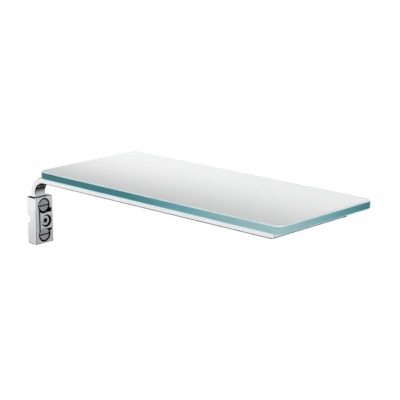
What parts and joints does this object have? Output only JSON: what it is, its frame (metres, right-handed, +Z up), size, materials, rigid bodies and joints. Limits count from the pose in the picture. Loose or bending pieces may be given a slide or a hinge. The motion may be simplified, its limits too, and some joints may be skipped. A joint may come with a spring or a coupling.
{
  "type": "wall shelf",
  "caption": "Glass wall shelf plate carried lengthwise on one bent flat metal bar with a return leg, held to the wall by a compact block.",
  "frame": {"origin": "centre of the wall block's back face, midway between its two wall fixings", "axes": "+X out of the wall along the shelf's length, +Y across the shelf to its far long edge, +Z up"},
  "size_m": [0.3326, 0.132, 0.0789],
  "materials": {
    "shelf_glass": "satin top, polished blue-green edges",
    "polished_chrome": "polished",
    "satin_metal": "satin",
    "fixing_steel": "bright turned",
    "black_plastic": "matt",
    "white_nylon": "matt",
    "clear_tape": "clear"
  },
  "bodies": {
    "root": {"glass_plate": "shelf_glass", "support_bar": "polished_chrome", "return_leg": "polished_chrome", "wall_block": "polished_chrome", "locking_plate": "satin_metal", "end_cap": "black_plastic", "cap_screw": "fixing_steel", "slotted_nuts": "fixing_steel", "nut_washers": "white_nylon", "rail_tape": "clear_tape", "leg_tape": "clear_tape", "bonded_discs": "fixing_steel", "disc_screws": "fixing_steel"}
  },
  "joints": []
}
